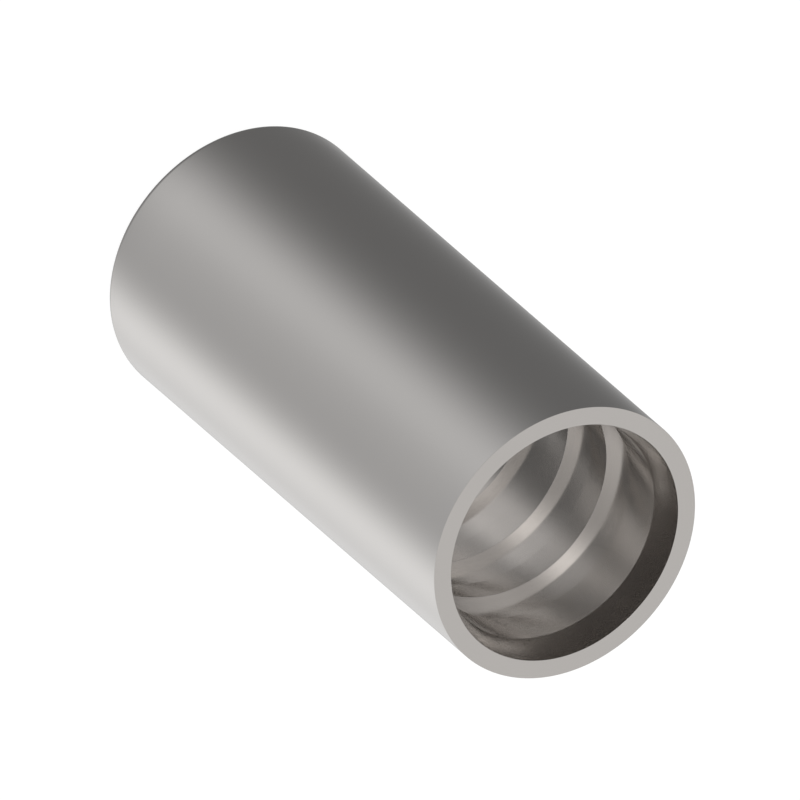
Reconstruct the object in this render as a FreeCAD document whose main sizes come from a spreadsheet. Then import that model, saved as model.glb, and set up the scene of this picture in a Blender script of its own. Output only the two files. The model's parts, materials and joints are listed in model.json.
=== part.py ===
import FreeCAD, Part
import os
import Sketcher

# Crimp ferrule for a hydraulic hose, turned in one piece from steel bar.
# It stands on its rear face at the origin, with the hose mouth up at +Z.

document = FreeCAD.newDocument("crimp_hose_ferrule")

# Driving dimensions in millimetres, each with what it measures
dimensions = (
    ("overall_length", 65.5, "rear face to mouth face"),
    ("bore_diameter", 24.3, "passage over the ribs and the lands"),
    ("wall_thickness", 2.85, "bore to outside"),
    ("lead_in_length", 3.25, "taper at the mouth, along the axis"),
    ("lead_in_depth", 0.9, "taper at the mouth, radially"),
    ("front_land", 4.8, "plain bore between the taper and the first groove"),
    ("groove_depth", 0.9, "grip groove, radially"),
    ("groove_width", 4.68, "grip groove, along the axis"),
    ("rib_width", 3.0, "rib between two grip grooves"),
    ("groove_count", 4, "grip grooves in a row, with plain bore behind them"),
    ("rear_corner_radius", 1.1, "rounded outer edge of the rear face"),
    ("rear_bore_chamfer", 0.3, "broken inner edge of the rear face"),
)

sheet = document.addObject("Spreadsheet::Sheet", "Sizes")
for row, (alias, value, meaning) in enumerate(dimensions, start=1):
    sheet.set(f"A{row}", alias)
    sheet.set(f"B{row}", str(value))
    sheet.set(f"C{row}", meaning)
    sheet.setAlias(f"B{row}", alias)
document.recompute()

# Sizes that several features share
bore_radius = "Sizes.bore_diameter / 2"
outer_radius = f"{bore_radius} + Sizes.wall_thickness"
mouth_radius = f"{bore_radius} + Sizes.lead_in_depth"
groove_radius = f"{bore_radius} + Sizes.groove_depth"
lead_in_foot = "Sizes.overall_length - Sizes.lead_in_length"
first_groove_top = f"{lead_in_foot} - Sizes.front_land"
first_groove_foot = f"{first_groove_top} - Sizes.groove_width"
groove_pitch = "Sizes.groove_width + Sizes.rib_width"

body = document.addObject("PartDesign::Body", "ferrule")
body.Label = "ferrule"
body.Placement = FreeCAD.Placement()


def origin_feature(role):
    """A plane or axis of the body's own origin."""
    return next(item for item in body.Origin.OriginFeatures if item.Role == role)


def sheet_value(expression):
    """The present value of an expression in the driving dimensions."""
    return float(sheet.evalExpression(expression.replace("Sizes.", "")))


def half_section(name, corners):
    """A closed outline in the XZ plane: x is the radius and y the height above the rear face.

    Each corner is a pair of expressions, and a corner of radius 0 lies on the axis.
    """
    sketch = body.newObject("Sketcher::SketchObject", name)
    sketch.AttachmentSupport = (origin_feature("XZ_Plane"), [""])
    sketch.MapMode = "FlatFace"
    places = [FreeCAD.Vector(sheet_value(radius), sheet_value(height), 0) for radius, height in corners]
    sides = [(side, (side + 1) % len(corners)) for side in range(len(corners))]
    for side, following in sides:
        sketch.addGeometry(Part.LineSegment(places[side], places[following]), False)
    for side, following in sides:
        sketch.addConstraint(Sketcher.Constraint("Coincident", side, 2, following, 1))
        if corners[side][0] == corners[following][0]:
            sketch.addConstraint(Sketcher.Constraint("Vertical", side))
        if corners[side][1] == corners[following][1]:
            sketch.addConstraint(Sketcher.Constraint("Horizontal", side))
    # Each radius and each height is held once, and the upright and level sides carry it round
    for direction, axis in (("DistanceX", -2), ("DistanceY", -1)):
        held = set()
        for corner, pair in enumerate(corners):
            expression = pair[direction == "DistanceY"]
            if expression in held:
                continue
            held.add(expression)
            if expression == "0":
                sketch.addConstraint(Sketcher.Constraint("PointOnObject", corner, 1, axis))
                continue
            value = sheet_value(expression)
            index = sketch.addConstraint(Sketcher.Constraint(direction, -1, 1, corner, 1, value))
            sketch.renameConstraint(index, f"{direction}_{corner}")
            sketch.setExpression(f"Constraints.{direction}_{corner}", expression)
    return sketch


def revolved(kind, name, corners):
    """A full turn of a half section about the axis, added or cut."""
    sketch = half_section(f"{name}_section", corners)
    feature = body.newObject(kind, name)
    feature.Profile = sketch
    feature.ReferenceAxis = (sketch, ["V_Axis"])
    feature.Angle = 360
    document.recompute()
    return feature


def rim(shape, height, radius):
    """The name of the circular edge of this radius at this height."""
    for number, edge in enumerate(shape.Edges, start=1):
        curve = edge.Curve
        if isinstance(curve, Part.Circle):
            if abs(curve.Center.z - height) < 1e-6 and abs(curve.Radius - radius) < 1e-6:
                return f"Edge{number}"
    raise ValueError(f"no rim of radius {radius} at height {height}")


def removed(before, feature):
    """Stops unless the feature took material away."""
    if not feature.Shape.Volume < before.Volume - 1e-3:
        raise ValueError(f"{feature.Name} cuts nothing")


# Tube: bored through at the size of the ribs and turned to the outer diameter
tube = revolved("PartDesign::Revolution", "tube", (
    (bore_radius, "0"),
    (outer_radius, "0"),
    (outer_radius, "Sizes.overall_length"),
    (bore_radius, "Sizes.overall_length"),
))

# Lead-in: the bore opens in a shallow taper towards the mouth, to start the hose
lead_in = revolved("PartDesign::Groove", "lead_in", (
    ("0", lead_in_foot),
    (bore_radius, lead_in_foot),
    (mouth_radius, "Sizes.overall_length"),
    ("0", "Sizes.overall_length"),
))
removed(tube.Shape, lead_in)

# Grip grooves: square recesses that the hose cover is pressed into, with ribs between them
grip_groove = revolved("PartDesign::Groove", "grip_groove", (
    ("0", first_groove_foot),
    (groove_radius, first_groove_foot),
    (groove_radius, first_groove_top),
    ("0", first_groove_top),
))
removed(lead_in.Shape, grip_groove)

# The grooves follow each other from the mouth down, and the bore behind them stays plain
grip_grooves = body.newObject("PartDesign::LinearPattern", "grip_grooves")
grip_grooves.Originals = [grip_groove]
grip_grooves.Direction = (origin_feature("Z_Axis"), [""])
grip_grooves.Reversed = True
grip_grooves.Mode = "Spacing"
grip_grooves.setExpression("Offset", groove_pitch)
grip_grooves.setExpression("Occurrences", "Sizes.groove_count")
body.Tip = grip_grooves
document.recompute()
removed(grip_groove.Shape, grip_grooves)

# Rear outer edge: rounded, where the crimping dies run off the barrel
rear_corner = body.newObject("PartDesign::Fillet", "rear_corner")
rear_corner.Base = (grip_grooves, [rim(grip_grooves.Shape, 0, sheet_value(outer_radius))])
rear_corner.setExpression("Radius", "Sizes.rear_corner_radius")
document.recompute()
removed(grip_grooves.Shape, rear_corner)

# Rear inner edge: broken, so that the fitting's collar enters freely
rear_bore_edge = body.newObject("PartDesign::Chamfer", "rear_bore_edge")
rear_bore_edge.Base = (rear_corner, [rim(rear_corner.Shape, 0, sheet_value(bore_radius))])
rear_bore_edge.setExpression("Size", "Sizes.rear_bore_chamfer")
document.recompute()
removed(rear_corner.Shape, rear_bore_edge)

for item in document.Objects:
    if "Invalid" in item.State or "Error" in item.State:
        raise ValueError(f"{item.Name} failed: {item.State}")
if body.Shape.isNull() or not body.Shape.isValid() or len(body.Shape.Solids) != 1:
    raise ValueError("the ferrule is not one valid solid")

os.makedirs("parts", exist_ok=True)
body.Shape.exportStep(f"parts/{body.Label}.step")
print(f"{body.Label}: {body.Shape.Volume:.1f} mm3, {grip_grooves.Occurrences} grip grooves")
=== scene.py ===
import json
import math

import bmesh
import bpy
from mathutils import Matrix, Vector


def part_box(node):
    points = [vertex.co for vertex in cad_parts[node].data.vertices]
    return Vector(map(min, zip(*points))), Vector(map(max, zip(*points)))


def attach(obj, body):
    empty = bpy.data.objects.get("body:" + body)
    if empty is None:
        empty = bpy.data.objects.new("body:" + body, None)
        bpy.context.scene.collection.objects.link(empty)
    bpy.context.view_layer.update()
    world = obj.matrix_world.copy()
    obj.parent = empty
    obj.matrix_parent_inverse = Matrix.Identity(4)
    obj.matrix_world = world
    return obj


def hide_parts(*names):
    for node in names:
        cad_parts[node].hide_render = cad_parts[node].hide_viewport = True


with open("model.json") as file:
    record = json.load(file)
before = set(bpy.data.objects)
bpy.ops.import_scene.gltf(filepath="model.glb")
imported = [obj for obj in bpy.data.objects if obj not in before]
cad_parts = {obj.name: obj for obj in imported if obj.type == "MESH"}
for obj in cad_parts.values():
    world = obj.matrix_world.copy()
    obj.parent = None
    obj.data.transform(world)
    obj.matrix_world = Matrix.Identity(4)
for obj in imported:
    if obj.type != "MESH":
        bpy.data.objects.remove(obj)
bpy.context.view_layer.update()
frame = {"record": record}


def boreRadius(name):
    # wall radius of a bore mount, in metres
    mount = next(m for m in frame["record"]["mounts"] if m["name"] == name)
    return mount["dims"]["r_mm"] / 1000


# Ferrule: one sleeve turned from bar, standing on its rear face with the mouth up

sleeve = {
    "leadInLength": 0.00325,  # taper at the mouth, along the axis
    "leadInDepth": 0.0009,  # taper at the mouth, radially
    "frontLand": 0.0048,  # plain bore between the taper and the first groove
    "grooveDepth": 0.0009,
    "grooveWidth": 0.00468,
    "ribWidth": 0.003,
    "grooveCount": 4,
    "rearCornerRadius": 0.0011,
    "rearCornerSteps": 12,
    "rearBoreChamfer": 0.0003,
    "edgeBreak": 0.00002,  # every other outward corner, as a file leaves it
    "edgeBreakSteps": 2,
    "outwardAngle": 60,  # degrees; an outward corner turns by more than this
    "wallRings": 0.005,  # spacing of the rings along the plain outside
    "turnSteps": 256,
    "sharpAngle": 10,  # degrees; shading is split above this
    "mergeDistance": 1e-7,
    "ringTolerance": 1e-6,
}


def sleeveSection(low, high, bore):
    # half section as (radius, height), from the mouth down the bore and up the outside
    outer = high.x
    foot = high.z - sleeve["leadInLength"]
    groove = bore + sleeve["grooveDepth"]
    corners = [(bore + sleeve["leadInDepth"], high.z), (bore, foot)]
    for n in range(sleeve["grooveCount"]):
        top = foot - sleeve["frontLand"] - n * (sleeve["grooveWidth"] + sleeve["ribWidth"])
        bottom = top - sleeve["grooveWidth"]
        corners += [(bore, top), (groove, top), (groove, bottom), (bore, bottom)]
    corners += [(bore, low.z), (outer, low.z)]
    rings = round((high.z - low.z) / sleeve["wallRings"])
    corners += [(outer, low.z + (high.z - low.z) * n / rings) for n in range(1, rings + 1)]
    return corners


def ringEdges(bm, radius, height):
    # the edges of one circle on the spun mesh
    def onRing(vert):
        level = abs(vert.co.z - height) < sleeve["ringTolerance"]
        return level and abs(vert.co.xy.length - radius) < sleeve["ringTolerance"]
    return [e for e in bm.edges if all(onRing(v) for v in e.verts)]


def breakCorners(bm, edges, width, steps):
    bmesh.ops.bevel(bm, geom=edges, offset=width, offset_type="OFFSET", segments=steps,
                    profile=0.5, affect="EDGES", material=-1, clamp_overlap=True)


def turnSleeve():
    low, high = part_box("ferrule")
    bore = boreRadius("hose_bore")
    bm = bmesh.new()
    verts = [bm.verts.new((r, 0, z)) for r, z in sleeveSection(low, high, bore)]
    edges = [bm.edges.new((a, b)) for a, b in zip(verts, verts[1:] + verts[:1])]
    bmesh.ops.spin(bm, geom=verts + edges, cent=(0, 0, 0), axis=(0, 0, 1), angle=math.tau,
                   steps=sleeve["turnSteps"], use_merge=True)
    bmesh.ops.remove_doubles(bm, verts=bm.verts, dist=sleeve["mergeDistance"])
    bmesh.ops.recalc_face_normals(bm, faces=bm.faces)
    # the two rear corners have sizes of their own, and the roots of the grooves stay sharp
    rear = set(ringEdges(bm, high.x, low.z) + ringEdges(bm, bore, low.z))
    outward = math.radians(sleeve["outwardAngle"])
    others = [e for e in bm.edges if e.calc_face_angle_signed() > outward and e not in rear]
    breakCorners(bm, others, sleeve["edgeBreak"], sleeve["edgeBreakSteps"])
    breakCorners(bm, ringEdges(bm, high.x, low.z), sleeve["rearCornerRadius"], sleeve["rearCornerSteps"])
    breakCorners(bm, ringEdges(bm, bore, low.z), sleeve["rearBoreChamfer"], 1)
    for face in bm.faces:
        face.smooth = True
    mesh = bpy.data.meshes.new("ferrule_sleeve")
    bm.to_mesh(mesh)
    bm.free()
    mesh.set_sharp_from_angle(angle=math.radians(sleeve["sharpAngle"]))
    piece = bpy.data.objects.new("ferrule_sleeve", mesh)
    bpy.context.scene.collection.objects.link(piece)
    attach(piece, "root")
    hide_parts("ferrule")
    print("ferrule_sleeve:", len(mesh.polygons), "faces")
    return piece


# Finish: fine turned steel, satin, with faint tool marks that run round the axis

steel = {
    "color": (0.73, 0.71, 0.692),
    "colorSpread": 0.01,  # share of the colour, either way, in the slow patches
    "roughness": 0.19,
    "roughnessSpread": 0.01,  # either way, in the same patches
    "feed": 0.00016,  # spacing of the tool marks
    "markHeight": 0.0000004,
    "patch": 0.006,  # size of the slow patches
}


def node(tree, kind, place, **values):
    made = tree.nodes.new(kind)
    made.location = place
    for name, value in values.items():
        if name in made.inputs:
            made.inputs[name].default_value = value
        else:
            setattr(made, name, value)
    return made


def spreadAround(tree, source, middle, spread, place):
    # turns a pattern from 0 to 1 into a value that keeps near the middle one
    made = node(tree, "ShaderNodeMapRange", place)
    made.inputs["To Min"].default_value = middle - spread
    made.inputs["To Max"].default_value = middle + spread
    tree.links.new(source, made.inputs["Value"])
    return made.outputs[0]


def turnedSteel():
    material = bpy.data.materials.new("turned_steel_satin")
    material.use_nodes = True
    tree = material.node_tree
    shader = tree.nodes["Principled BSDF"]
    shader.inputs["Metallic"].default_value = 1
    link = tree.links.new
    # radius and height of each point, so that the marks go round the axis on walls and faces alike
    coords = node(tree, "ShaderNodeTexCoord", (-1500, 0))
    split = node(tree, "ShaderNodeSeparateXYZ", (-1300, 100))
    flat = node(tree, "ShaderNodeVectorMath", (-1300, -100), operation="MULTIPLY")
    flat.inputs[1].default_value = (1, 1, 0)
    radius = node(tree, "ShaderNodeVectorMath", (-1120, -100), operation="LENGTH")
    section = node(tree, "ShaderNodeCombineXYZ", (-940, 0))
    link(coords.outputs["Object"], split.inputs[0])
    link(coords.outputs["Object"], flat.inputs[0])
    link(flat.outputs[0], radius.inputs[0])
    link(radius.outputs["Value"], section.inputs["X"])
    link(split.outputs["Z"], section.inputs["Y"])
    marks = node(tree, "ShaderNodeTexNoise", (-740, -200), noise_dimensions="2D",
                 Scale=1 / steel["feed"], Detail=2)
    link(section.outputs[0], marks.inputs["Vector"])
    bump = node(tree, "ShaderNodeBump", (-300, -300), Strength=1, Distance=steel["markHeight"])
    link(marks.outputs["Fac"], bump.inputs["Height"])
    link(bump.outputs[0], shader.inputs["Normal"])
    # slow patches in tone and gloss
    patches = node(tree, "ShaderNodeTexNoise", (-740, 200), Scale=1 / steel["patch"], Detail=2)
    link(coords.outputs["Object"], patches.inputs["Vector"])
    tone = spreadAround(tree, patches.outputs["Fac"], 1, steel["colorSpread"], (-520, 300))
    tint = node(tree, "ShaderNodeVectorMath", (-300, 200), operation="SCALE")
    tint.inputs[0].default_value = steel["color"]
    link(tone, tint.inputs["Scale"])
    link(tint.outputs[0], shader.inputs["Base Color"])
    gloss = spreadAround(tree, patches.outputs["Fac"], steel["roughness"], steel["roughnessSpread"],
                         (-520, 0))
    link(gloss, shader.inputs["Roughness"])
    print("turned steel made")
    return material


# View: the photograph's own, fitted to its outline; it looks down at the mouth from the front

view = {
    "pictureSide": 800,
    "axisTurn": 40.892,  # degrees, picture direction of +Z below the right
    "axisTilt": 41.343,  # degrees between +Z and the line of sight
    "mouthPixel": (564.15, 542.15),  # centre of the mouth face
    "pixelsPerRadius": 150.6,
    "distance": 0.3,
    "clip": (0.001, 10),
}


def setCamera():
    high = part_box("ferrule")[1]
    turn, tilt = math.radians(view["axisTurn"]), math.radians(view["axisTilt"])
    back = Vector((0, -math.sin(tilt), math.cos(tilt)))
    upright = Vector((0, math.cos(tilt), math.sin(tilt)))
    across = Vector((1, 0, 0))
    right = upright * math.cos(turn) - across * math.sin(turn)
    up = -upright * math.sin(turn) - across * math.cos(turn)
    pixel = high.x / view["pixelsPerRadius"]
    middle = (view["pictureSide"] - 1) / 2
    dx, dy = (middle - view["mouthPixel"][0]) * pixel, (view["mouthPixel"][1] - middle) * pixel
    aim = Vector((0, 0, high.z)) + right * dx + up * dy
    camera = bpy.data.objects.new("camera", bpy.data.cameras.new("camera"))
    bpy.context.scene.collection.objects.link(camera)
    camera.matrix_world = (Matrix.Translation(aim + back * view["distance"])
                           @ Matrix((right, up, back)).transposed().to_4x4())
    camera.data.type = "ORTHO"
    camera.data.ortho_scale = view["pictureSide"] * pixel
    camera.data.clip_start, camera.data.clip_end = view["clip"]
    bpy.context.scene.camera = camera
    print("camera set")


# Studio: a pale floor, a soft surround and wide soft lights in it

studio = {
    "floorSide": 4,
    "floorGlow": 0.93,  # what the camera sees without any light on the floor
    "floorColor": 0.2,
    "surround": 0.14,
    "warmth": (1.024, 1, 0.976),  # tint of the light from straight above, which fades to the horizon
    # soft lights: azimuth from -Y towards +X and elevation in degrees, sharpness, strength
    "lights": (
        (-12, 33, 22, 1.84),
        (102, -42, 12, 0.72),
        (125, 64, 2, 0.64),
        (159, -39, 10, 0.63),
        (-8, -44, 12, 0.44),
        (-78, 33, 9, 0.35),
        (40, -42, 14, 0.24),
    ),
    "bounces": 16,  # the bore mirrors itself many times over
}


def direction(azimuth, elevation):
    a, e = math.radians(azimuth), math.radians(elevation)
    return Vector((math.cos(e) * math.sin(a), -math.cos(e) * math.cos(a), math.sin(e)))


def addLight(tree, coords, total, row, azimuth, elevation, sharpness, strength):
    # total + strength * exp(sharpness * (cos(angle from the light's middle) - 1))
    toward = node(tree, "ShaderNodeVectorMath", (-1100, -250 * row), operation="DOT_PRODUCT")
    toward.inputs[1].default_value = direction(azimuth, elevation)
    fall = node(tree, "ShaderNodeMath", (-900, -250 * row), operation="MULTIPLY_ADD")
    fall.inputs[1].default_value = sharpness
    fall.inputs[2].default_value = -sharpness
    glow = node(tree, "ShaderNodeMath", (-700, -250 * row), operation="EXPONENT")
    added = node(tree, "ShaderNodeMath", (-500, -250 * row), operation="MULTIPLY_ADD")
    added.inputs[1].default_value = strength
    tree.links.new(coords.outputs["Generated"], toward.inputs[0])
    tree.links.new(toward.outputs["Value"], fall.inputs[0])
    tree.links.new(fall.outputs[0], glow.inputs[0])
    tree.links.new(glow.outputs[0], added.inputs[0])
    tree.links.new(total, added.inputs[2])
    return added.outputs[0]


def setSurround():
    world = bpy.data.worlds.new("surround")
    bpy.context.scene.world = world
    world.use_nodes = True
    tree = world.node_tree
    link = tree.links.new
    background = tree.nodes["Background"]
    coords = node(tree, "ShaderNodeTexCoord", (-1300, 0))
    total = node(tree, "ShaderNodeValue", (-600, 0)).outputs[0]
    total.default_value = studio["surround"]
    for row, light in enumerate(studio["lights"]):
        total = addLight(tree, coords, total, row, *light)
    height = node(tree, "ShaderNodeSeparateXYZ", (-700, 500))
    link(coords.outputs["Generated"], height.inputs[0])
    # a Mix node has its plain numbers at inputs 2 and 3, and its colours at 6 and 7
    tint = node(tree, "ShaderNodeMix", (-500, 500), data_type="RGBA")
    tint.inputs[6].default_value = (1, 1, 1, 1)
    tint.inputs[7].default_value = (*studio["warmth"], 1)
    link(height.outputs["Z"], tint.inputs[0])
    # plain white where the camera sees it
    path = node(tree, "ShaderNodeLightPath", (-300, 300))
    seen = node(tree, "ShaderNodeMix", (-100, 0), data_type="FLOAT")
    seen.inputs[3].default_value = 1
    link(path.outputs["Is Camera Ray"], seen.inputs[0])
    link(total, seen.inputs[2])
    link(seen.outputs[0], background.inputs["Strength"])
    seenTint = node(tree, "ShaderNodeMix", (-100, 400), data_type="RGBA")
    seenTint.inputs[7].default_value = (1, 1, 1, 1)
    link(path.outputs["Is Camera Ray"], seenTint.inputs[0])
    link(tint.outputs[2], seenTint.inputs[6])
    link(seenTint.outputs[2], background.inputs["Color"])
    bpy.context.scene.cycles.max_bounces = studio["bounces"]
    bpy.context.scene.cycles.glossy_bounces = studio["bounces"]
    print("surround set with", len(studio["lights"]), "soft lights")


def layFloor():
    bm = bmesh.new()
    bmesh.ops.create_grid(bm, x_segments=1, y_segments=1, size=studio["floorSide"] / 2)
    mesh = bpy.data.meshes.new("floor")
    bm.to_mesh(mesh)
    bm.free()
    floor = bpy.data.objects.new("floor", mesh)
    bpy.context.scene.collection.objects.link(floor)
    floor.visible_glossy = False  # the steel mirrors the soft surround below the floor too
    material = bpy.data.materials.new("pale_floor")
    material.use_nodes = True
    tree = material.node_tree
    shader = tree.nodes["Principled BSDF"]
    shader.inputs["Base Color"].default_value = (studio["floorColor"],) * 3 + (1,)
    shader.inputs["Roughness"].default_value = 1
    shader.inputs["Specular IOR Level"].default_value = 0
    shader.inputs["Emission Color"].default_value = (1, 1, 1, 1)
    path = node(tree, "ShaderNodeLightPath", (-500, -200))
    glow = node(tree, "ShaderNodeMath", (-300, -200), operation="MULTIPLY")
    glow.inputs[1].default_value = studio["floorGlow"]
    tree.links.new(path.outputs["Is Camera Ray"], glow.inputs[0])
    tree.links.new(glow.outputs[0], shader.inputs["Emission Strength"])
    mesh.materials.append(material)
    print("floor laid")


piece = turnSleeve()
piece.data.materials.append(turnedSteel())
layFloor()
setSurround()
setCamera()
bpy.context.scene.view_settings.view_transform = "Standard"
